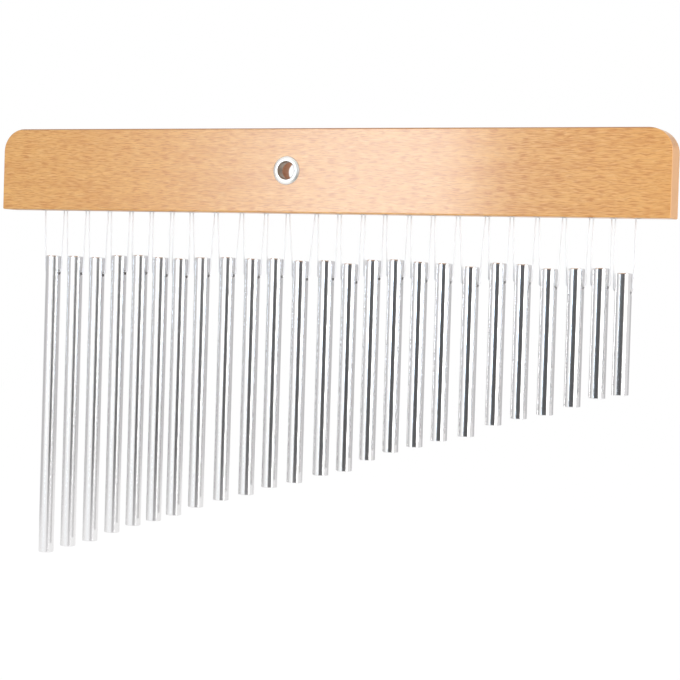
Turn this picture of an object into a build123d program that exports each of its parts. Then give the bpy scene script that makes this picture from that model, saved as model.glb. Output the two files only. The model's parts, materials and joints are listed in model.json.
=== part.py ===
from build123d import *
import os
from itertools import accumulate
from math import pi, radians, tan

# Bar chimes: graduated aluminium bars hang on a laced cord under a wooden beam.
# Millimetres. X runs along the beam from the longest bar to the shortest, Y from the
# beam's front face to its back, and Z is up. The origin is the centre of the eyelet's
# bore, in the plane of the beam's front face.

# Chime bars, longest first
LONGEST_BAR = 186.0
SHORTEST_BAR = 68.0
BAR_DIAMETER = 9.5
BAR_GAP = 5.7
BAR_CHAMFER = 0.4
CROSS_HOLE_DIAMETER = 3.0
CROSS_HOLE_BELOW_TOP = 10.4
CROSS_HOLE_FLARE = 0.5

# Hand work is uneven: the scatters below count these steps
HAND_STEP = 0.5
# From one cord hole to the next, more or less than the pitch, as drilled by hand
DRILLING_SCATTER = (
    1, 1, 1, 0, -2, -2, -4, 3, 4, 2, -2, 7, -1,
    0, -3, 0, -1, 0, 5, -1, 0, 1, 1, -5, -3,
)

# Cord: one lace, up and down from hole to bar to hole
CORD_DIAMETER = 0.9
CORD_DROP = 27.5
# Each bar's top, lower or higher than the drop, as the lacing was pulled
LACING_SCATTER = (
    2, 2, 3, 0, -1, 1, 2, 0, -1, 0, -1, 1, 0,
    3, -2, -3, -1, 0, 3, -2, -1, 3, 2, 1, 6,
)
STRAND_GAP = 0.6
STRAND_TUCK = 0.2
SHOULDER_RADIUS = 20.0
FOLD_RADIUS = 0.95
CORD_SEAT = 0.4
PIVOT_DROP = 0.6

# Beam
BEAM_HEIGHT = 50.0
BEAM_THICKNESS = 16.0
LEFT_MARGIN = 25.5
RIGHT_MARGIN = 20.5
CORNER_RADIUS = 14.0
EDGE_EASE = 0.8
EYELET_FROM_LEFT = 195.5

# Cord holes, with the cord's bight and the peg that jams it
CORD_HOLE_CLEARANCE = 0.45
DRILL_POINT_ANGLE = 118.0
WEB_UNDER_EYELET = 5.8
BIGHT_HEADROOM = 0.5
PEG_DIAMETER = 1.1
PEG_SIDE_CLEARANCE = 0.05
PEG_END_CLEARANCE = 0.2
PEG_RECESS = 2.0
PEG_CHAMFER = 0.2

# Eyelet
EYELET_BORE = 10.4
EYELET_WALL = 0.5
EYELET_DEPTH = 5.5
FLANGE_WIDTH = 2.95
FLANGE_HEIGHT = 1.0
FLANGE_RIM = 0.3
BORE_LIP = 0.7
EYELET_FIT = 0.05

# Worked out from the sizes above
BAR_COUNT = len(DRILLING_SCATTER)
PITCH = BAR_DIAMETER + BAR_GAP
STEPS = [PITCH + HAND_STEP * scatter for scatter in DRILLING_SCATTER]
BEAM_LEFT = -EYELET_FROM_LEFT
HOLE_X = list(accumulate(STEPS, initial=BEAM_LEFT + LEFT_MARGIN))
BEAM_RIGHT = HOLE_X[-1] + RIGHT_MARGIN
UNDERSIDE = -BEAM_HEIGHT / 2
ROW_Y = BEAM_THICKNESS / 2
CORD_RADIUS = CORD_DIAMETER / 2
STRAND_OFFSET = PEG_DIAMETER / 2 + PEG_SIDE_CLEARANCE + CORD_RADIUS
BAR_RADIUS = BAR_DIAMETER / 2
CROSS_HOLE_RADIUS = CROSS_HOLE_DIAMETER / 2
BARREL_RADIUS = EYELET_BORE / 2 + EYELET_WALL
CORD_HOLE_RADIUS = STRAND_OFFSET + CORD_RADIUS + CORD_HOLE_CLEARANCE
DRILL_POINT = CORD_HOLE_RADIUS / tan(radians(DRILL_POINT_ANGLE / 2))
CORD_HOLE_DEPTH = -UNDERSIDE - BARREL_RADIUS - WEB_UNDER_EYELET - DRILL_POINT
BIGHT_CENTRE = UNDERSIDE + CORD_HOLE_DEPTH - BIGHT_HEADROOM - CORD_RADIUS - STRAND_OFFSET
PIVOT_Z = UNDERSIDE - PIVOT_DROP
CORD_RISE = CROSS_HOLE_RADIUS - CORD_RADIUS - CORD_SEAT
BAR_STEP = (LONGEST_BAR - SHORTEST_BAR) / (BAR_COUNT - 1)


def bar_x(index):
    """A bar hangs midway between its two cord holes."""
    return (HOLE_X[index] + HOLE_X[index + 1]) / 2


def bar_top(index):
    return UNDERSIDE - CORD_DROP - HAND_STEP * LACING_SCATTER[index]


def bar_length(index):
    return LONGEST_BAR - index * BAR_STEP


def tube(path):
    """A round cord along a path, starting square to it."""
    start = Plane(origin=path @ 0, z_dir=path % 0)
    return sweep(start * Circle(CORD_RADIUS), path=path)


def wooden_beam():
    """A flat board with two rounded top corners, eased edges, cord holes and the eyelet's hole."""
    board = Rectangle(BEAM_RIGHT - BEAM_LEFT, BEAM_HEIGHT)
    board = fillet(board.vertices().group_by(Axis.Y)[-1], CORNER_RADIUS)
    board = Plane.XZ * Pos((BEAM_LEFT + BEAM_RIGHT) / 2, 0) * board
    beam = extrude(board, amount=-BEAM_THICKNESS)
    outline = beam.edges().group_by(Axis.Y)
    lower_corners = outline[1].group_by(Axis.Z)[0]
    beam = fillet(outline[0] + outline[-1] + lower_corners, EDGE_EASE)
    beam -= Pos(0, ROW_Y, 0) * Rot(90, 0, 0) * Cylinder(BARREL_RADIUS + EYELET_FIT, 2 * BEAM_THICKNESS)
    return beam - [cord_hole(x) for x in HOLE_X]


def cord_hole(x):
    """A blind hole drilled up from the underside, with the drill's pointed end."""
    drill = Cylinder(CORD_HOLE_RADIUS, 2 * CORD_HOLE_DEPTH)
    point = Cone(CORD_HOLE_RADIUS, 0, DRILL_POINT, align=(Align.CENTER, Align.CENTER, Align.MIN))
    return Pos(x, ROW_Y, UNDERSIDE) * (drill + Pos(0, 0, CORD_HOLE_DEPTH) * point)


def stand_eyelet():
    """A pressed eyelet: a domed flange on the front face and a thin barrel in the beam."""
    bore = EYELET_BORE / 2
    rim = bore + FLANGE_WIDTH
    crown = bore + BORE_LIP
    lip_end = BORE_LIP - FLANGE_HEIGHT
    section = [
        Line((bore, lip_end), (bore, EYELET_DEPTH)),
        Line((bore, EYELET_DEPTH), (BARREL_RADIUS, EYELET_DEPTH)),
        Line((BARREL_RADIUS, EYELET_DEPTH), (BARREL_RADIUS, 0)),
        Line((BARREL_RADIUS, 0), (rim, 0)),
        Line((rim, 0), (rim, -FLANGE_RIM)),
        TangentArc((crown, -FLANGE_HEIGHT), (rim, -FLANGE_RIM), tangent=(1, 0)),
        TangentArc((crown, -FLANGE_HEIGHT), (bore, lip_end), tangent=(-1, 0)),
    ]
    return revolve(make_face(section), Axis.Y)


def chime_bar(index):
    """A round bar with chamfered ends and a cross hole whose mouths are flared for the cord."""
    length = bar_length(index)
    bar = Cylinder(BAR_RADIUS, length, align=(Align.CENTER, Align.CENTER, Align.MAX))
    bar = chamfer(bar.edges().filter_by(GeomType.CIRCLE), BAR_CHAMFER)
    cross_hole = Rot(0, 90, 0) * Cylinder(CROSS_HOLE_RADIUS, 2 * BAR_DIAMETER)
    flare = Cone(
        CROSS_HOLE_RADIUS,
        CROSS_HOLE_RADIUS + 2 * CROSS_HOLE_FLARE,
        2 * CROSS_HOLE_FLARE,
    )
    for turn in (90, -90):
        cross_hole += Rot(0, turn, 0) * Pos(0, 0, BAR_RADIUS) * flare
    bar -= Pos(0, 0, -CROSS_HOLE_BELOW_TOP) * cross_hole
    return Pos(bar_x(index), ROW_Y, bar_top(index)) * bar


def cord_loop(index):
    """From one hole's mouth down beside the bar, through its cross hole and up to the next mouth."""
    x = bar_x(index)
    top = bar_top(index)
    fold = top - CROSS_HOLE_BELOW_TOP + CORD_RISE
    beside_top = BAR_RADIUS + CORD_RADIUS + STRAND_GAP
    beside_fold = beside_top - STRAND_TUCK
    route = [
        (HOLE_X[index] + STRAND_OFFSET, ROW_Y, PIVOT_Z),
        (x - beside_top, ROW_Y, top),
        (x - beside_fold, ROW_Y, fold),
        (x + beside_fold, ROW_Y, fold),
        (x + beside_top, ROW_Y, top),
        (HOLE_X[index + 1] - STRAND_OFFSET, ROW_Y, PIVOT_Z),
    ]
    radii = [SHOULDER_RADIUS, FOLD_RADIUS, FOLD_RADIUS, SHOULDER_RADIUS]
    path = FilletPolyline(route, radius=radii)
    return tube(path), path.length


def cord_bight(index):
    """The lacing's turn inside a hole; the two end holes hold the cord's straight ends."""
    x = HOLE_X[index]
    left = (x - STRAND_OFFSET, ROW_Y, BIGHT_CENTRE)
    right = (x + STRAND_OFFSET, ROW_Y, BIGHT_CENTRE)
    left_mouth = (x - STRAND_OFFSET, ROW_Y, UNDERSIDE)
    right_mouth = (x + STRAND_OFFSET, ROW_Y, UNDERSIDE)
    if index == 0:
        return tube(Line(right_mouth, right))
    if index == BAR_COUNT:
        return tube(Line(left_mouth, left))
    over = (x, ROW_Y, BIGHT_CENTRE + STRAND_OFFSET)
    path = Line(left_mouth, left) + ThreePointArc(left, over, right) + Line(right, right_mouth)
    return tube(path)


def cord_peg(x):
    """A thin peg between the two legs of a bight."""
    bottom = UNDERSIDE + PEG_RECESS
    length = BIGHT_CENTRE - PEG_END_CLEARANCE - bottom
    peg = Cylinder(PEG_DIAMETER / 2, length, align=(Align.CENTER, Align.CENTER, Align.MIN))
    peg = chamfer(peg.edges().filter_by(GeomType.CIRCLE), PEG_CHAMFER)
    return Pos(x, ROW_Y, bottom) * peg


os.makedirs("parts", exist_ok=True)

export_step(wooden_beam(), "parts/wooden_beam.step")
export_step(stand_eyelet(), "parts/stand_eyelet.step")

for index in range(BAR_COUNT):
    export_step(chime_bar(index), f"parts/chime_bar_{index + 1:02d}.step")
    cord, length = cord_loop(index)
    share = cord.volume / (pi * CORD_RADIUS**2 * length)
    print(f"cord loop {index + 1:02d}: {length:.1f} mm long, volume {share:.4f} of section times length")
    export_step(cord, f"parts/cord_loop_{index + 1:02d}.step")

bights = Compound(children=[cord_bight(index) for index in range(BAR_COUNT + 1)])
pegs = Compound(children=[cord_peg(x) for x in HOLE_X])
export_step(bights, "parts/cord_bights.step")
export_step(pegs, "parts/cord_pegs.step")

print(f"beam {BEAM_RIGHT - BEAM_LEFT:.1f} mm long, cord holes {CORD_HOLE_DEPTH:.1f} mm deep")
print(f"fold radius {FOLD_RADIUS} mm, shoulder radius {SHOULDER_RADIUS} mm, cord {CORD_DIAMETER} mm")
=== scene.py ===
# %% [markdown]
# Bar chimes: twenty-five aluminium bars hang on one laced cord under a lacquered beech beam.
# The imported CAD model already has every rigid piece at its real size, so this lesson adds what
# CAD leaves out: the finish of each surface, and the cord as a real laid cord.

# %% Load the frame
import json
from itertools import accumulate
from math import cos, pi, radians, sin, sqrt

import bpy
from mathutils import Matrix, Vector

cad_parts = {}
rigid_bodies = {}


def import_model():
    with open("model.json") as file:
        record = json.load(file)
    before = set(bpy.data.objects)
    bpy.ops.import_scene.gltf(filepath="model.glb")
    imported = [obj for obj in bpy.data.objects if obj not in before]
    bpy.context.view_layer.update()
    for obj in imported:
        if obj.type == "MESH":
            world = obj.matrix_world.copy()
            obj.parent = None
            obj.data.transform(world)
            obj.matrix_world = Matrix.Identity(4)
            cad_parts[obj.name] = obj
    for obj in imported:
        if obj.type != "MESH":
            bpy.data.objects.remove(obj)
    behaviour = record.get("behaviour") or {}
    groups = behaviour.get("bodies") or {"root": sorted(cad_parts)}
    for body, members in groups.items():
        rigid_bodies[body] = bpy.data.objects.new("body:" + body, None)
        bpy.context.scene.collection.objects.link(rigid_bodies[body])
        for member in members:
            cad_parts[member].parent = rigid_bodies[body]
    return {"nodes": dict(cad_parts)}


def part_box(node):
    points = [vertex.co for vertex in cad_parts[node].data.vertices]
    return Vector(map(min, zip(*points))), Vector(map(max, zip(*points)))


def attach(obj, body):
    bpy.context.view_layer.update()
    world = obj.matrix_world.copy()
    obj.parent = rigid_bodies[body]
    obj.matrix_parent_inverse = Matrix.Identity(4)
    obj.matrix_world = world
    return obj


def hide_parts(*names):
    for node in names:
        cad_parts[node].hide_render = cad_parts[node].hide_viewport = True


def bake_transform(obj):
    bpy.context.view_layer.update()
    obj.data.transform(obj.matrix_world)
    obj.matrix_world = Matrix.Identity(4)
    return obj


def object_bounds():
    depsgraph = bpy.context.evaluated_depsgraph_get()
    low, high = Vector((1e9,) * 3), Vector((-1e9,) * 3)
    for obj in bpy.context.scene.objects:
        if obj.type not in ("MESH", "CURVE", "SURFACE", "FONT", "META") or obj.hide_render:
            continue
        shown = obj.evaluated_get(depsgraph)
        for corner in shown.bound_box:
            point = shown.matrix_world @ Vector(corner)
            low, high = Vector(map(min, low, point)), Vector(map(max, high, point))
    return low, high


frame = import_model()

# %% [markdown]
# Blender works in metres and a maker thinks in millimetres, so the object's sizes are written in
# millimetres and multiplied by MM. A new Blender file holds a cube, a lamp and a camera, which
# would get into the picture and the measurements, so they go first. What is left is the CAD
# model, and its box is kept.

MM = 0.001
START_UP_THINGS = ("Cube", "Light", "Camera")

for thing in [thing for thing in bpy.data.objects if thing.name in START_UP_THINGS]:
    bpy.data.objects.remove(thing)
cad_low, cad_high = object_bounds()
nodes = frame["nodes"]
bar_names = sorted(name for name in nodes if name.startswith("chime_bar"))
print("CAD box, mm:", [round(side / MM, 1) for side in cad_high - cad_low], "bars:", len(bar_names))

# %% [markdown]
# The camera stands to the right of the instrument and a little below the beam, about 1.2 m away.
# A long lens keeps the bars nearly parallel. Its place and turn could be found by eye, but here
# they come from matching the beam's corners, the eyelet and the bar ends with the photograph.

# %% Camera
PHOTO_SIDE_PIXELS = 680
FOCAL_LENGTH_PIXELS = 2000
SENSOR_MM = 36
CAMERA_PLACE = Vector((494.2, -1075.6, -70.0)) * MM
YAW, PITCH, ROLL = radians(23.0), radians(-1.41), radians(1.75)

forward = Vector((-sin(YAW) * cos(PITCH), cos(YAW) * cos(PITCH), sin(PITCH)))
level_right = Vector((cos(YAW), sin(YAW), 0))
level_up = level_right.cross(forward)
right = cos(ROLL) * level_right + sin(ROLL) * level_up
up = right.cross(forward)
turned = Matrix((right, up, -forward)).transposed().to_4x4()

lens = bpy.data.cameras.new("Long lens")
lens.sensor_width = SENSOR_MM
lens.lens = SENSOR_MM * FOCAL_LENGTH_PIXELS / PHOTO_SIDE_PIXELS
camera = bpy.data.objects.new("Camera", lens)
camera.matrix_world = Matrix.Translation(CAMERA_PLACE) @ turned
bpy.context.scene.collection.objects.link(camera)
bpy.context.scene.camera = camera
print(f"lens {lens.lens:.1f} mm, {CAMERA_PLACE.length:.2f} m from the eyelet")

# %% [markdown]
# A few small helpers serve every material and node tree below: one turns an sRGB hex colour to the
# linear values that shaders use, one adds a node, sets its options and links its inputs, and one
# starts a material.

# %% Helpers for colours and nodes
def linear(hex_colour):
    """An sRGB hex colour as linear red, green, blue and alpha."""
    channels = [int(hex_colour[i:i + 2], 16) / 255 for i in (1, 3, 5)]
    return (*(c / 12.92 if c <= 0.04045 else ((c + 0.055) / 1.055) ** 2.4 for c in channels), 1.0)


def add(tree, kind, inputs=None, **options):
    """A node with its options set, whose inputs are plain values or other nodes' outputs."""
    node = tree.nodes.new(kind)
    for option, value in options.items():
        setattr(node, option, value)
    for socket, value in (inputs or {}).items():
        if isinstance(value, bpy.types.NodeSocket):
            tree.links.new(value, node.inputs[socket])
        else:
            node.inputs[socket].default_value = value
    return node


def new_material(name):
    """A material with its node tree and its surface shader."""
    material = bpy.data.materials.new(name)
    material.use_nodes = True
    return material, material.node_tree, material.node_tree.nodes["Principled BSDF"]


print("white is", linear("#FFFFFF"))

# %% [markdown]
# The cord is thin white polyester, three strands laid together. Polyester yarn is matt with a soft
# sheen along its edges. A noise about as coarse as the yarn's filaments greys it a little.

# %% Material: polyester cord
YARN_GRAIN = 0.5 * MM
FUZZ_HEIGHT = 0.05 * MM
SHADED_YARN, CLEAN_YARN = "#F7F2F1", "#FFFFFF"


def polyester_cord():
    """Spun polyester: off-white, matt, with a faint sheen."""
    material, tree, shader = new_material("Spun polyester cord")
    place = add(tree, "ShaderNodeTexCoord").outputs["Object"]
    grain = add(tree, "ShaderNodeTexNoise", {"Vector": place, "Scale": 1 / YARN_GRAIN, "Detail": 3})
    tint = add(tree, "ShaderNodeValToRGB", {"Fac": grain.outputs["Fac"]})
    for stop, position, tone in zip(tint.color_ramp.elements, (0.3, 0.7), (SHADED_YARN, CLEAN_YARN)):
        stop.position = position
        stop.color = linear(tone)
    fuzz = add(
        tree,
        "ShaderNodeBump",
        {"Height": grain.outputs["Fac"], "Strength": 0.3, "Distance": FUZZ_HEIGHT},
    )
    tree.links.new(tint.outputs["Color"], shader.inputs["Base Color"])
    tree.links.new(fuzz.outputs["Normal"], shader.inputs["Normal"])
    shader.inputs["Roughness"].default_value = 0.75
    shader.inputs["Sheen Weight"].default_value = 0.25
    return material


cord_finish = polyester_cord()
print("made", cord_finish.name)

# %% [markdown]
# A laid cord is three strands that wind round each other. They could be modelled as three helices
# by hand for every bar, but a Geometry Nodes tree does it once for any route: it copies the route
# three times, moves each copy round the line as it goes along, and sweeps a small circle over it.
# Every route here lies in the plane of the row, so the turn is measured from that plane's normal.

# %% Geometry Nodes: a laid cord
STRANDS = 3
STRAND_SHARE = 1 / (1 + 2 / sqrt(3))
STRAND_SIDES = 6
ROW_NORMAL = (0, 1, 0)


def laid_cord_tree():
    """Strands of a laid cord along any curve in the plane of the row."""
    tree = bpy.data.node_groups.new("Laid cord", "GeometryNodeTree")
    tree.interface.new_socket("Route", in_out="INPUT", socket_type="NodeSocketGeometry")
    for name in ("Cord Diameter", "Lay Length", "Point Spacing"):
        tree.interface.new_socket(name, in_out="INPUT", socket_type="NodeSocketFloat")
    tree.interface.new_socket("Finish", in_out="INPUT", socket_type="NodeSocketMaterial")
    tree.interface.new_socket("Cord", in_out="OUTPUT", socket_type="NodeSocketGeometry")
    given = add(tree, "NodeGroupInput").outputs

    # Three equal circles that touch each other just fit in the cord's round
    radius = add(tree, "ShaderNodeMath", {0: given["Cord Diameter"], 1: 0.5}, operation="MULTIPLY")
    strand = add(tree, "ShaderNodeMath", {0: radius.outputs[0], 1: STRAND_SHARE}, operation="MULTIPLY")
    ring = add(tree, "ShaderNodeMath", {0: radius.outputs[0], 1: strand.outputs[0]}, operation="SUBTRACT")

    # The route at even steps, once for each strand
    even = {"Curve": given["Route"], "Length": given["Point Spacing"]}
    points = add(tree, "GeometryNodeResampleCurve", even, mode="LENGTH")
    wanted = {"Geometry": points.outputs[0], "Amount": STRANDS}
    copies = add(tree, "GeometryNodeDuplicateElements", wanted, domain="SPLINE").outputs

    # How far a strand has turned: one turn in each lay length, and each strand starts elsewhere
    along = add(tree, "GeometryNodeSplineParameter").outputs["Length"]
    turns = add(tree, "ShaderNodeMath", {0: along, 1: given["Lay Length"]}, operation="DIVIDE")
    start = add(tree, "ShaderNodeMath", {0: copies["Duplicate Index"], 1: STRANDS}, operation="DIVIDE")
    turn = add(tree, "ShaderNodeMath", {0: turns.outputs[0], 1: start.outputs[0]}, operation="ADD")
    angle = add(tree, "ShaderNodeMath", {0: turn.outputs[0], 1: 2 * pi}, operation="MULTIPLY").outputs[0]
    across = add(tree, "ShaderNodeMath", {0: angle}, operation="COSINE").outputs[0]
    deep = add(tree, "ShaderNodeMath", {0: angle}, operation="SINE").outputs[0]

    # Its place beside the line: part of the way across the row's plane and part of the way deep
    tangent = add(tree, "GeometryNodeInputTangent").outputs[0]
    side = add(tree, "ShaderNodeVectorMath", {0: tangent, 1: ROW_NORMAL}, operation="CROSS_PRODUCT")
    sideways = add(tree, "ShaderNodeVectorMath", {0: side.outputs[0], "Scale": across}, operation="SCALE")
    inwards = add(tree, "ShaderNodeVectorMath", {0: ROW_NORMAL, "Scale": deep}, operation="SCALE")
    both_ways = {0: sideways.outputs[0], 1: inwards.outputs[0]}
    out = add(tree, "ShaderNodeVectorMath", both_ways, operation="ADD")
    to_ring = {0: out.outputs[0], "Scale": ring.outputs[0]}
    offset = add(tree, "ShaderNodeVectorMath", to_ring, operation="SCALE")
    moved = {"Geometry": copies["Geometry"], "Offset": offset.outputs[0]}
    laid = add(tree, "GeometryNodeSetPosition", moved)

    # A small circle swept over each strand
    round_strand = {"Resolution": STRAND_SIDES, "Radius": strand.outputs[0]}
    circle = add(tree, "GeometryNodeCurvePrimitiveCircle", round_strand)
    sweep = {"Curve": laid.outputs[0], "Profile Curve": circle.outputs[0], "Fill Caps": True}
    swept = add(tree, "GeometryNodeCurveToMesh", sweep)
    smooth = add(tree, "GeometryNodeSetShadeSmooth", {"Geometry": swept.outputs[0]})
    real = add(tree, "GeometryNodeRealizeInstances", {"Geometry": smooth.outputs[0]})
    coated = {"Geometry": real.outputs[0], "Material": given["Finish"]}
    finished = add(tree, "GeometryNodeSetMaterial", coated)
    add(tree, "NodeGroupOutput", {"Cord": finished.outputs[0]})
    return tree


cord_tree = laid_cord_tree()
print(len(cord_tree.nodes), "nodes in", cord_tree.name)

# %% [markdown]
# A cord's route is a handful of points. A NURBS spline over them gives the soft bends of a thin
# cord, which a polyline would not. The tree above runs on that spline as a modifier, and the result
# is copied out as a plain mesh, because a finished piece must not depend on a modifier.

# %% From a route to a cord
CORD_DIAMETER = 0.9 * MM
LAY_LENGTH = 3.2 * MM
POINT_SPACING = 0.3 * MM
SPLINE_STEPS = 24
SPLINE_ORDER = 3


def lay_cord(name, routes):
    """A laid cord along each route, as one plain mesh, and the points that its spline passes."""
    curve = bpy.data.curves.new(name + "_route", "CURVE")
    curve.dimensions = "3D"
    curve.resolution_u = SPLINE_STEPS
    for route in routes:
        spline = curve.splines.new("NURBS")
        spline.points.add(len(route) - 1)
        for point, place in zip(spline.points, route):
            point.co = (*place, 1)
        spline.order_u = SPLINE_ORDER
        spline.use_endpoint_u = True
    line = bpy.data.objects.new(name + "_route", curve)
    bpy.context.scene.collection.objects.link(line)
    bare = bpy.data.meshes.new_from_object(line)
    passed = [tuple(vertex.co) for vertex in bare.vertices]

    modifier = line.modifiers.new("Laid cord", "NODES")
    modifier.node_group = cord_tree
    sizes = {
        "Cord Diameter": CORD_DIAMETER,
        "Lay Length": LAY_LENGTH,
        "Point Spacing": POINT_SPACING,
        "Finish": cord_finish,
    }
    for socket in cord_tree.interface.items_tree:
        if socket.name in sizes:
            modifier[socket.identifier] = sizes[socket.name]
    seen = line.evaluated_get(bpy.context.evaluated_depsgraph_get())
    piece = bpy.data.objects.new(name, bpy.data.meshes.new_from_object(seen))
    bpy.context.scene.collection.objects.link(piece)
    bpy.data.objects.remove(line)
    return piece, passed


print(f"cord of {CORD_DIAMETER / MM:.1f} mm, one turn in {LAY_LENGTH / MM:.1f} mm")

# %% [markdown]
# One lace goes up and down along the whole row. Out of one hole in the beam it drops to a bar's
# cross hole, passes through, climbs to the next hole, turns round inside the wood and drops again.
# Each bar hangs midway between two holes, so every hole follows from the first one and the bars.

# %% Where the holes and bars are
LEFT_MARGIN = 25.5 * MM
MOUTH_DEPTH = 1.0 * MM

beam_low, beam_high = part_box("wooden_beam")
row_y = (beam_low.y + beam_high.y) / 2
underside = beam_low.z
mouth = underside + MOUTH_DEPTH
boxes = [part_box(name) for name in bar_names]
bar_x = [(low.x + high.x) / 2 for low, high in boxes]
bar_top = [high.z for low, high in boxes]
bar_radius = (boxes[0][1].y - boxes[0][0].y) / 2
hole_x = list(accumulate(bar_x, lambda hole, bar: 2 * bar - hole, initial=beam_low.x + LEFT_MARGIN))
print("holes, mm from the left end:", [round((x - beam_low.x) / MM, 1) for x in hole_x])

# %% [markdown]
# Each loop's route follows the cord from hole to hole. It leaves the wood straight down, spreads to
# a shoulder beside the bar's top, tucks in towards the cross hole, and the far half mirrors this.

# %% The cord loops
STRAND_OFFSET = 1.05 * MM
STRAND_GAP = 0.6 * MM
STRAND_TUCK = 0.2 * MM
CROSS_HOLE_BELOW_TOP = 10.4 * MM
CORD_RISE = 0.65 * MM
FOLD_POINT_GAP = 2.55 * MM


def loop_route(index):
    """Down one side of a bar, folded through its cross hole, and up the other side."""
    x = bar_x[index]
    top = bar_top[index]
    fold = top - CROSS_HOLE_BELOW_TOP + CORD_RISE
    beside_top = bar_radius + CORD_DIAMETER / 2 + STRAND_GAP
    beside_fold = beside_top - STRAND_TUCK
    return [
        (hole_x[index] + STRAND_OFFSET, row_y, mouth),
        (hole_x[index] + STRAND_OFFSET, row_y, underside - MOUTH_DEPTH),
        (x - beside_top, row_y, top),
        (x - beside_fold, row_y, fold + FOLD_POINT_GAP),
        (x - beside_fold, row_y, fold),
        (x - beside_fold + FOLD_POINT_GAP, row_y, fold),
        (x + beside_fold - FOLD_POINT_GAP, row_y, fold),
        (x + beside_fold, row_y, fold),
        (x + beside_fold, row_y, fold + FOLD_POINT_GAP),
        (x + beside_top, row_y, top),
        (hole_x[index + 1] - STRAND_OFFSET, row_y, underside - MOUTH_DEPTH),
        (hole_x[index + 1] - STRAND_OFFSET, row_y, mouth),
    ]


for index, bar_name in enumerate(bar_names):
    number = bar_name[-2:]
    loop, path = lay_cord("laid_cord_" + number, [loop_route(index)])
    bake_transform(loop)
    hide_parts("cord_loop_" + number)

# %% [markdown]
# Inside each hole the lace turns round over a small peg that jams it. Nobody sees it with the
# instrument whole, but it shows when the beam is cut or seen from below, so it is laid cord too.
# The lace starts in the first hole and ends in the last one, so those two have one leg each.

# %% The turns inside the holes
BIGHT_TOP = 11.4 * MM
BIGHT_SHOULDER = 1.2 * MM


def bight_route(index):
    """Up one side of a hole, round the peg and down the other side."""
    x = hole_x[index]
    crown = underside + BIGHT_TOP
    left_leg = [(x - STRAND_OFFSET, row_y, height) for height in (mouth, crown - BIGHT_SHOULDER, crown)]
    right_leg = [(x + STRAND_OFFSET, row_y, height) for _, _, height in reversed(left_leg)]
    if index == 0:
        return right_leg[1:]
    if index == len(bar_names):
        return left_leg[:-1]
    return left_leg + right_leg


turns, _ = lay_cord("laid_cord_turns", [bight_route(index) for index in range(len(hole_x))])
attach(turns, "beam")
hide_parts("cord_bights")
print(turns.name, len(turns.data.polygons), "faces in", len(hole_x), "holes")

# %% [markdown]
# Beech is pale tan with little figure. What tells it from other woods is its ray flecks: short
# dashes a few millimetres long, darker and lighter than the ground, all along the grain. A
# photograph of wood would be quick, but a pattern made of noise has no edges and turns the corners
# by itself, as the board is cut out of a solid pattern. Four layers of stretched noise lie over the
# ground tone, each as large as its marks are on the wood, and a slow noise bends them a little.

# %% The grain of beech
BAND_SIZE = Vector((80.0, 14.0, 6.0)) * MM
PALE_FLECK_SIZE = Vector((7.5, 1.2, 0.70)) * MM
FLECK_SIZE = Vector((6.5, 1.2, 0.60)) * MM
PORE_SIZE = Vector((9.0, 0.6, 0.6)) * MM
PORE_DEPTH = 0.1 * MM
WAVE_SIZE = 9 * MM
WAVE_HEIGHT = 2.0 * MM
GROUND_TONE = "#E6A959"

# Each layer: the size of a mark, the noise where it begins and is full, its strength and its tone
GRAIN_LAYERS = (
    (BAND_SIZE, 0.35, 0.65, 0.70, "#DA9747"),
    (PALE_FLECK_SIZE, 0.48, 0.74, 0.50, "#F3C582"),
    (FLECK_SIZE, 0.47, 0.68, 0.90, "#C67A26"),
    (PORE_SIZE, 0.45, 0.70, 0.45, "#CB8334"),
)

# A Mix node has sockets for numbers, vectors and colours, and these are the colour ones
UNDER, OVER, MIXED = 6, 7, 2


def per_size(size):
    """How often a pattern of this size repeats in a metre, along each axis."""
    return [1 / side for side in size]


def beech_grain(tree, place):
    """The grain's colour, layer over layer, and the height of the last layer, the pores."""
    wander = add(tree, "ShaderNodeTexNoise", {"Vector": place, "Scale": 1 / WAVE_SIZE, "Detail": 1})
    halfway = {0: wander.outputs["Color"], 1: (0.5, 0.5, 0.5)}
    centred = add(tree, "ShaderNodeVectorMath", halfway, operation="SUBTRACT")
    bend = {0: centred.outputs[0], 1: (0, WAVE_HEIGHT, WAVE_HEIGHT), 2: place}
    bent = add(tree, "ShaderNodeVectorMath", bend, operation="MULTIPLY_ADD").outputs[0]
    colour = linear(GROUND_TONE)
    for number, (size, begins, full, strength, tone) in enumerate(GRAIN_LAYERS):
        apart = (number, number, number)
        stretched = {"Vector": bent, "Location": apart, "Scale": per_size(size)}
        spread = add(tree, "ShaderNodeMapping", stretched)
        noise = add(tree, "ShaderNodeTexNoise", {"Vector": spread.outputs[0], "Scale": 1, "Detail": 2})
        marks = {"Value": noise.outputs["Fac"], "From Min": begins, "From Max": full, "To Max": strength}
        amount = add(tree, "ShaderNodeMapRange", marks).outputs[0]
        layer = {"Factor": amount, UNDER: colour, OVER: linear(tone)}
        colour = add(tree, "ShaderNodeMix", layer, data_type="RGBA").outputs[MIXED]
    return colour, noise.outputs["Fac"]


print("grain of", len(GRAIN_LAYERS), "layers, flecks", [round(side / MM, 1) for side in FLECK_SIZE], "mm")
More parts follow.
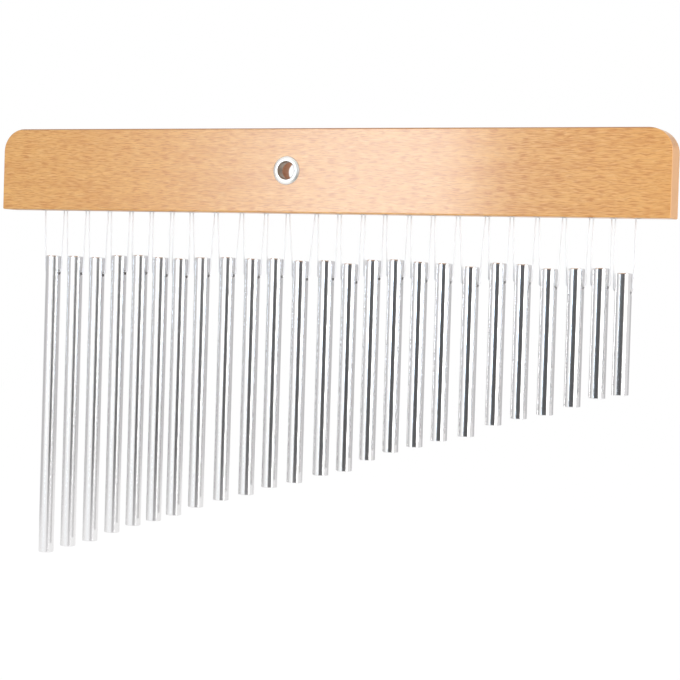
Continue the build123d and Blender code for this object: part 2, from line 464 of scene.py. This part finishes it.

# %% [markdown]
# Some places on the beam differ from its plain face. The saw cuts across the grain at the ends. The
# cord holes are darker on their walls and round their rims. The bore behind the eyelet is bare wood.
# A thin dark line round the eyelet's flange is painted shade, where the flange meets the wood, and
# the eased top edges are painted darker as shade, as they face up, away from the front lamps. Each
# place could have its own faces and material, but the beam is one mesh of the CAD model, so the
# places are worked out from the distance to an edge or an axis.

# %% Where the beam differs from its face
END_GRAIN_DEPTH = 0.5 * MM
HOLE_RADIUS = 1.95 * MM
HOLE_DEPTH = 13 * MM
DARK_RIM_WIDTH = 0.9 * MM
BORE_RADIUS = 6.2 * MM
FLANGE_RADIUS = 8.15 * MM
FLANGE_LINE = 0.6 * MM
EASED_EDGE = 0.7 * MM


def sawn_ends(tree, axes):
    """1 in the last half millimetre at each end of the board, else 0."""
    middle = (beam_low.x + beam_high.x) / 2
    half_length = (beam_high.x - beam_low.x) / 2 - END_GRAIN_DEPTH
    between = add(tree, "ShaderNodeMath", {0: axes[0], 1: middle, 2: half_length}, operation="COMPARE")
    return add(tree, "ShaderNodeMath", {0: 1.0, 1: between.outputs[0]}, operation="SUBTRACT").outputs[0]


def darkened_holes(tree, place, axes):
    """1 on the walls of the cord holes, less round their rims, else 0."""
    plan = add(tree, "ShaderNodeVectorMath", {0: place, 1: (1, 1, 0)}, operation="MULTIPLY").outputs[0]
    nearest = 1.0
    for x in hole_x:
        away = add(tree, "ShaderNodeVectorMath", {0: plan, 1: (x, row_y, 0)}, operation="DISTANCE")
        least = add(tree, "ShaderNodeMath", {0: away.outputs["Value"], 1: nearest}, operation="MINIMUM")
        nearest = least.outputs[0]
    rim = {"From Min": HOLE_RADIUS, "From Max": HOLE_RADIUS + DARK_RIM_WIDTH, "To Min": 1.0, "To Max": 0.0}
    rim_dark = add(tree, "ShaderNodeMapRange", {"Value": nearest, **rim})
    low = add(tree, "ShaderNodeMath", {0: axes[2], 1: underside + HOLE_DEPTH}, operation="LESS_THAN")
    in_hole = {0: rim_dark.outputs[0], 1: low.outputs[0]}
    return add(tree, "ShaderNodeMath", in_hole, operation="MULTIPLY").outputs[0]


def from_eyelet_axis(tree, place):
    """How far a point is from the eyelet's axis, which runs through the origin from front to back."""
    flat = add(tree, "ShaderNodeVectorMath", {0: place, 1: (1, 0, 1)}, operation="MULTIPLY")
    return add(tree, "ShaderNodeVectorMath", {0: flat.outputs[0]}, operation="LENGTH").outputs["Value"]


def eyelet_seat(tree, place, axes):
    """The bare bore behind the eyelet, and a dark line of painted shade round its flange on the front."""
    away = from_eyelet_axis(tree, place)
    bore = add(tree, "ShaderNodeMath", {0: away, 1: BORE_RADIUS}, operation="LESS_THAN").outputs[0]
    line_end = FLANGE_RADIUS + FLANGE_LINE
    fade = {"From Min": FLANGE_RADIUS, "From Max": line_end, "To Min": 0.9, "To Max": 0.0}
    line = add(tree, "ShaderNodeMapRange", {"Value": away, **fade}).outputs[0]
    front = add(tree, "ShaderNodeMath", {0: axes[1], 1: row_y}, operation="LESS_THAN").outputs[0]
    return bore, add(tree, "ShaderNodeMath", {0: line, 1: front}, operation="MULTIPLY").outputs[0]


def eased_edges(tree, axes):
    """1 along the front and back edges of the beam's top, else 0, where shade is painted."""
    half_depth = (beam_high.y - beam_low.y) / 2 - EASED_EDGE
    core = add(tree, "ShaderNodeMath", {0: axes[1], 1: row_y, 2: half_depth}, operation="COMPARE")
    top = add(tree, "ShaderNodeMath", {0: axes[2], 1: beam_high.z - EASED_EDGE}, operation="GREATER_THAN")
    outside = {0: top.outputs[0], 1: core.outputs[0]}
    return add(tree, "ShaderNodeMath", outside, operation="SUBTRACT", use_clamp=True).outputs[0]


print("beam", [round(side / MM, 1) for side in beam_high - beam_low], "mm")

# %% [markdown]
# The beam is beech under clear satin lacquer, sprayed and rubbed down. Lacquer evens out the pores,
# so the relief is slight, and it gives the broad sheen across the beam's front. Sawn and bored wood
# takes no gloss. One shader does all of it: the places above change its colour and its roughness.

# %% Material: lacquered beech
LACQUERED, BARE = 0.28, 0.8
# The first two tones are painted shade: on the eased top edges and round the eyelet's flange
SHADED_EDGE_TONE, FLANGE_SHADE_TONE = "#B07A48", "#7A5A3C"
END_TONE, BORE_TONE, HOLE_DARK_TONE = "#DFAA78", "#F0BE98", "#3A2A20"


def lacquered_beech():
    """Beech: pale tan with short flecks, under satin lacquer, duller on end grain and in the bore."""
    material, tree, shader = new_material("Lacquered beech")
    place = add(tree, "ShaderNodeTexCoord").outputs["Object"]
    axes = add(tree, "ShaderNodeSeparateXYZ", {0: place}).outputs
    colour, pores = beech_grain(tree, place)
    ends = sawn_ends(tree, axes)
    bore, flange_shade = eyelet_seat(tree, place, axes)
    places = (
        # Painted shade along the eased top edges
        (eased_edges(tree, axes), SHADED_EDGE_TONE),
        # Painted shade: a dark line round the eyelet's flange
        (flange_shade, FLANGE_SHADE_TONE),
        (ends, END_TONE),
        (bore, BORE_TONE),
        # Darker walls and rims in the cord holes
        (darkened_holes(tree, place, axes), HOLE_DARK_TONE),
    )
    for amount, tone in places:
        overlay = {"Factor": amount, UNDER: colour, OVER: linear(tone)}
        colour = add(tree, "ShaderNodeMix", overlay, data_type="RGBA").outputs[MIXED]
    bare = add(tree, "ShaderNodeMath", {0: ends, 1: bore}, operation="MAXIMUM").outputs[0]
    rough = add(tree, "ShaderNodeMapRange", {"Value": bare, "To Min": LACQUERED, "To Max": BARE})
    relief = add(tree, "ShaderNodeBump", {"Height": pores, "Strength": 0.05, "Distance": PORE_DEPTH})
    tree.links.new(colour, shader.inputs["Base Color"])
    tree.links.new(rough.outputs[0], shader.inputs["Roughness"])
    tree.links.new(relief.outputs["Normal"], shader.inputs["Normal"])
    shader.inputs["Specular IOR Level"].default_value = 0.9
    return material


beech = lacquered_beech()
nodes["wooden_beam"].material_slots[0].material = beech
print("made", beech.name)

# %% [markdown]
# The pegs in the cord holes are cut from beech dowel and have no lacquer. The grain is the same, so
# its function is used again, now matt and with more relief. Nobody sees the pegs with the beam
# whole, but a piece keeps its own finish for the day that it is taken apart.

# %% Material: bare beech
def bare_beech():
    """Cut dowel: the same grain without lacquer, so it is matt."""
    material, tree, shader = new_material("Bare beech dowel")
    place = add(tree, "ShaderNodeTexCoord").outputs["Object"]
    colour, pores = beech_grain(tree, place)
    relief = add(tree, "ShaderNodeBump", {"Height": pores, "Strength": 0.2, "Distance": PORE_DEPTH})
    tree.links.new(colour, shader.inputs["Base Color"])
    tree.links.new(relief.outputs["Normal"], shader.inputs["Normal"])
    shader.inputs["Roughness"].default_value = BARE
    return material


dowel = bare_beech()
nodes["cord_pegs"].material_slots[0].material = dowel
print("made", dowel.name)

# %% [markdown]
# The bars are drawn aluminium, polished bright. Drawing leaves faint straight marks along the bar.
# They are too fine to see one by one, so they are drawn coarser here, as a gentle unevenness of
# the gloss. Bars that strike each other for years also get a few small nicks. The colour of a
# metal is the colour of its reflection, and the rest is the studio.

# %% Material: polished aluminium
DRAW_MARK = Vector((0.3, 0.3, 700.0)) * MM
NICK_SIZE = 1.4 * MM
NICK_DEPTH = 0.05 * MM


def polished_aluminium():
    """Drawn aluminium bar, polished: pale grey mirror with faint lengthwise marks and few nicks."""
    material, tree, shader = new_material("Polished drawn aluminium")
    place = add(tree, "ShaderNodeTexCoord").outputs["Object"]
    lengthwise = add(tree, "ShaderNodeMapping", {"Vector": place, "Scale": per_size(DRAW_MARK)})
    marks = add(tree, "ShaderNodeTexNoise", {"Vector": lengthwise.outputs[0], "Scale": 1, "Detail": 1})
    uneven = {"From Min": 0.3, "From Max": 0.7, "To Min": 0.16, "To Max": 0.21}
    gloss = add(tree, "ShaderNodeMapRange", {"Value": marks.outputs["Fac"], **uneven})
    spots = add(tree, "ShaderNodeTexNoise", {"Vector": place, "Scale": 1 / NICK_SIZE, "Detail": 0})
    few = {"From Min": 0.72, "From Max": 0.80}
    nicks = add(tree, "ShaderNodeMapRange", {"Value": spots.outputs["Fac"], **few}).outputs[0]
    relief = add(tree, "ShaderNodeBump", {"Height": nicks, "Strength": 0.2, "Distance": NICK_DEPTH})
    tree.links.new(gloss.outputs[0], shader.inputs["Roughness"])
    tree.links.new(relief.outputs["Normal"], shader.inputs["Normal"])
    shader.inputs["Base Color"].default_value = linear("#EDECEC")
    shader.inputs["Metallic"].default_value = 1.0
    return material


aluminium = polished_aluminium()
for name in bar_names:
    nodes[name].material_slots[0].material = aluminium
print("made", aluminium.name, "for", len(bar_names), "bars")

# %% [markdown]
# The eyelet is pressed from thin steel and given a bright nickel plating, a warmer white than
# aluminium. Handling dulls the plating unevenly. Inside the barrel the nickel is painted darker,
# as painted shade and painted dark reflections of that hollow.

# %% Material: bright nickel
HANDLING_MARK = 1.5 * MM
BARREL_INSIDE = 5.3 * MM
LIP_OUTSIDE = 5.9 * MM
BARREL_SHADE_TONE, NICKEL_TONE = "#A79B8C", "#F4F2ED"


def bright_nickel():
    """Nickel plate on pressed steel: a warm white mirror, slightly dulled, painted dark inside the barrel
    as shade.
    """
    material, tree, shader = new_material("Bright nickel plate")
    place = add(tree, "ShaderNodeTexCoord").outputs["Object"]
    dull = add(tree, "ShaderNodeTexNoise", {"Vector": place, "Scale": 1 / HANDLING_MARK, "Detail": 3})
    handled = {"Value": dull.outputs["Fac"], "To Min": 0.32, "To Max": 0.46}
    gloss = add(tree, "ShaderNodeMapRange", handled)
    # Painted shade: the nickel's colour is darker inside the barrel than outside it
    outwards = {"From Min": BARREL_INSIDE, "From Max": LIP_OUTSIDE}
    outside_barrel = add(tree, "ShaderNodeMapRange", {"Value": from_eyelet_axis(tree, place), **outwards})
    plate = {"Factor": outside_barrel.outputs[0], UNDER: linear(BARREL_SHADE_TONE), OVER: linear(NICKEL_TONE)}
    colour = add(tree, "ShaderNodeMix", plate, data_type="RGBA").outputs[MIXED]
    tree.links.new(colour, shader.inputs["Base Color"])
    tree.links.new(gloss.outputs[0], shader.inputs["Roughness"])
    shader.inputs["Metallic"].default_value = 1.0
    return material


nickel = bright_nickel()
nodes["stand_eyelet"].material_slots[0].material = nickel
print("made", nickel.name)

# %% [markdown]
# The studio is a white room. White could be painted in behind the picture afterwards, but a mirror
# needs it all round, so the world itself is white to the camera and in reflections. Where it only
# lights, it is dimmer, so that the lamps do the work. The Standard view shows colours as written.

# %% World
AMBIENT = 0.45

world = bpy.data.worlds.new("White room")
world.use_nodes = True
bpy.context.scene.world = world
bpy.context.scene.view_settings.view_transform = "Standard"
room = world.node_tree
rays = add(room, "ShaderNodeLightPath").outputs
shown = rays["Is Camera Ray"]
for kind in ("Is Glossy Ray", "Is Transmission Ray"):
    shown = add(room, "ShaderNodeMath", {0: shown, 1: rays[kind]}, operation="MAXIMUM").outputs[0]
level = add(room, "ShaderNodeMapRange", {"Value": shown, "To Min": AMBIENT, "To Max": 1.0})
sky = room.nodes["Background"]
sky.inputs["Color"].default_value = linear("#FFFFFF")
room.links.new(level.outputs[0], sky.inputs["Strength"])
print("world lights at", AMBIENT)

# %% [markdown]
# The floor is a large sheet of matt white paper, a hand's breadth below the longest bar. Plain
# paper would come out grey under these lamps, and a glowing floor would lose its shadow. So the
# camera and the mirrors see a mix, mostly glow, and all other light finds plain paper.

# %% Floor
FLOOR_BELOW = 80 * MM
FLOOR_SIZE = 6.0
FLOOR_GLOW = 0.90
FLOOR_GLOW_STRENGTH = 1.06


def white_floor():
    """Matt white paper that shows as white to the camera and keeps a soft shadow."""
    material, tree, shader = new_material("Matt white paper")
    shader.inputs["Base Color"].default_value = linear("#F4F4F4")
    shader.inputs["Roughness"].default_value = 0.9
    rays = add(tree, "ShaderNodeLightPath").outputs
    direct = {0: rays["Is Camera Ray"], 1: rays["Is Glossy Ray"]}
    seen = add(tree, "ShaderNodeMath", direct, operation="MAXIMUM").outputs[0]
    share = add(tree, "ShaderNodeMath", {0: seen, 1: FLOOR_GLOW}, operation="MULTIPLY").outputs[0]
    glow = add(tree, "ShaderNodeEmission", {"Color": linear("#FFFFFF"), "Strength": FLOOR_GLOW_STRENGTH})
    surface = add(tree, "ShaderNodeMixShader", {0: share, 1: shader.outputs[0], 2: glow.outputs[0]})
    tree.links.new(surface.outputs[0], tree.nodes["Material Output"].inputs["Surface"])
    return material


def flat_card(name, corners, material):
    """A flat four-cornered sheet for the studio."""
    mesh = bpy.data.meshes.new(name)
    mesh.from_pydata(corners, [], [(0, 1, 2, 3)])
    mesh.materials.append(material)
    card = bpy.data.objects.new(name, mesh)
    bpy.context.scene.collection.objects.link(card)
    return card


half = FLOOR_SIZE / 2
floor_z = cad_low.z - FLOOR_BELOW
floor_corners = [(x * half, y * half, floor_z) for x, y in ((-1, -1), (1, -1), (1, 1), (-1, 1))]
flat_card("floor", floor_corners, white_floor())
print("floor at", round(floor_z / MM), "mm")

# %% [markdown]
# A polished bar shows what stands round it, so photographers build its stripes from cards. A dark
# card in front gives the dark middle line, and it pales towards its foot, as the line does on the
# longest bars. It stands close to the row, so the line wanders from bar to bar. The lacquered beam
# reflects what is above the dark card, so a paler one stands on top of it, which takes some of the
# sheen off the beam's right half. Grey cards at the left and right give the bars their grey edges.
# Only reflections see the cards.

# %% Cards for the reflections
# Each card's two upright edges, as x and y in metres
DARK_CARD = ((0.010, -0.300), (0.296, -0.172))
LEFT_CARD = ((-1.00, -0.66), (-1.00, 0.10))
LEFT_BACK_CARD = ((-1.00, 0.10), (-0.60, 1.04))
RIGHT_CARD = ((1.35, -0.39), (1.25, 0.85))
RIGHT_BACK_CARD = ((1.25, 0.85), (0.10, 1.50))
DARK_CARD_FOOT, DARK_CARD_HEAD, TOP_CARD_HEAD = -0.45, -0.03, 0.25
EDGE_CARD_FOOT, EDGE_CARD_HEAD = -0.70, 0.50
DARK_LEVEL, FOOT_LEVEL = 0.09, 0.85
FADE_START, FADE_END = -0.205, -0.29
GREY_LEVEL, PALE_LEVEL, TOP_LEVEL = 0.61, 0.86, 0.45


def card_glow(name, low_level, high_level, low, high):
    """A card whose brightness changes with height from one level to another."""
    material, tree, _ = new_material(name)
    place = add(tree, "ShaderNodeTexCoord").outputs["Object"]
    height = add(tree, "ShaderNodeSeparateXYZ", {0: place}).outputs[2]
    fade = {"From Min": low, "From Max": high, "To Min": low_level, "To Max": high_level}
    level = add(tree, "ShaderNodeMapRange", {"Value": height, **fade}).outputs[0]
    glow = add(tree, "ShaderNodeEmission", {"Color": linear("#FDFCFE"), "Strength": level})
    tree.links.new(glow.outputs[0], tree.nodes["Material Output"].inputs["Surface"])
    return material


def standing_card(name, ends, foot, head, material):
    """An upright card that only mirrors see."""
    (x0, y0), (x1, y1) = ends
    card = flat_card(name, [(x0, y0, foot), (x1, y1, foot), (x1, y1, head), (x0, y0, head)], material)
    card.visible_camera = False
    card.visible_diffuse = False
    card.visible_shadow = False


dark_paper = card_glow("Dark card, paler at its foot", FOOT_LEVEL, DARK_LEVEL, FADE_END, FADE_START)
top_paper = card_glow("Half-dark card", TOP_LEVEL, TOP_LEVEL, DARK_CARD_HEAD, TOP_CARD_HEAD)
grey_paper = card_glow("Grey card", GREY_LEVEL, GREY_LEVEL, EDGE_CARD_FOOT, EDGE_CARD_HEAD)
pale_paper = card_glow("Pale grey card", PALE_LEVEL, PALE_LEVEL, EDGE_CARD_FOOT, EDGE_CARD_HEAD)
standing_card("dark_card", DARK_CARD, DARK_CARD_FOOT, DARK_CARD_HEAD, dark_paper)
standing_card("top_card", DARK_CARD, DARK_CARD_HEAD, TOP_CARD_HEAD, top_paper)
edge_cards = (
    ("left_card", LEFT_CARD, grey_paper),
    ("left_back_card", LEFT_BACK_CARD, grey_paper),
    ("right_card", RIGHT_CARD, pale_paper),
    ("right_back_card", RIGHT_BACK_CARD, grey_paper),
)
for name, ends, paper in edge_cards:
    standing_card(name, ends, EDGE_CARD_FOOT, EDGE_CARD_HEAD, paper)
print("two cards for the dark line and", len(edge_cards), "for the edges")

# %% [markdown]
# Four soft boxes light the room. The key box is a flash at the camera's left, a little cool, as
# flash light is. It gives the sheen on the beam and a white band on each bar. The side box lights
# the beam's end and gives the bars their second white band. A weak box at the left and one above
# fill in. The left one would draw a third band, so mirrors don't see it.

# %% Soft boxes
FLASH_COLOUR = (0.80, 0.98, 1.17)
PLAIN_WHITE = (1, 1, 1)
MIDDLE_OF_BARS = (0, 0, -0.1)


def soft_box(name, place, target, width, height, radiance, colour=PLAIN_WHITE):
    """A rectangular lamp of this brightness, turned to its target."""
    lamp = bpy.data.lights.new(name, "AREA")
    lamp.shape = "RECTANGLE"
    lamp.size = width
    lamp.size_y = height
    lamp.energy = radiance * pi * width * height
    lamp.color = colour
    box = bpy.data.objects.new(name, lamp)
    box.location = place
    box.rotation_euler = (Vector(target) - Vector(place)).to_track_quat("-Z", "Y").to_euler()
    bpy.context.scene.collection.objects.link(box)
    return box


key_box = soft_box(
    "key_box",
    place=(-0.393, -1.162, 0.074),
    target=(0.067, 0, 0),
    width=0.30,
    height=0.42,
    radiance=8.8,
    colour=FLASH_COLOUR,
)
side_box = soft_box(
    "side_box", place=(1.15, -0.70, 0.10), target=MIDDLE_OF_BARS, width=0.45, height=1.1, radiance=6.3
)
left_box = soft_box(
    "left_box", place=(-1.20, -0.75, 0.10), target=MIDDLE_OF_BARS, width=0.7, height=1.1, radiance=0.4
)
left_box.visible_glossy = False
top_box = soft_box(
    "top_box", place=(0.0, -0.2, 1.3), target=(0, 0, 0), width=1.2, height=0.8, radiance=0.6
)
print("soft boxes:", [box.name for box in (key_box, side_box, left_box, top_box)])
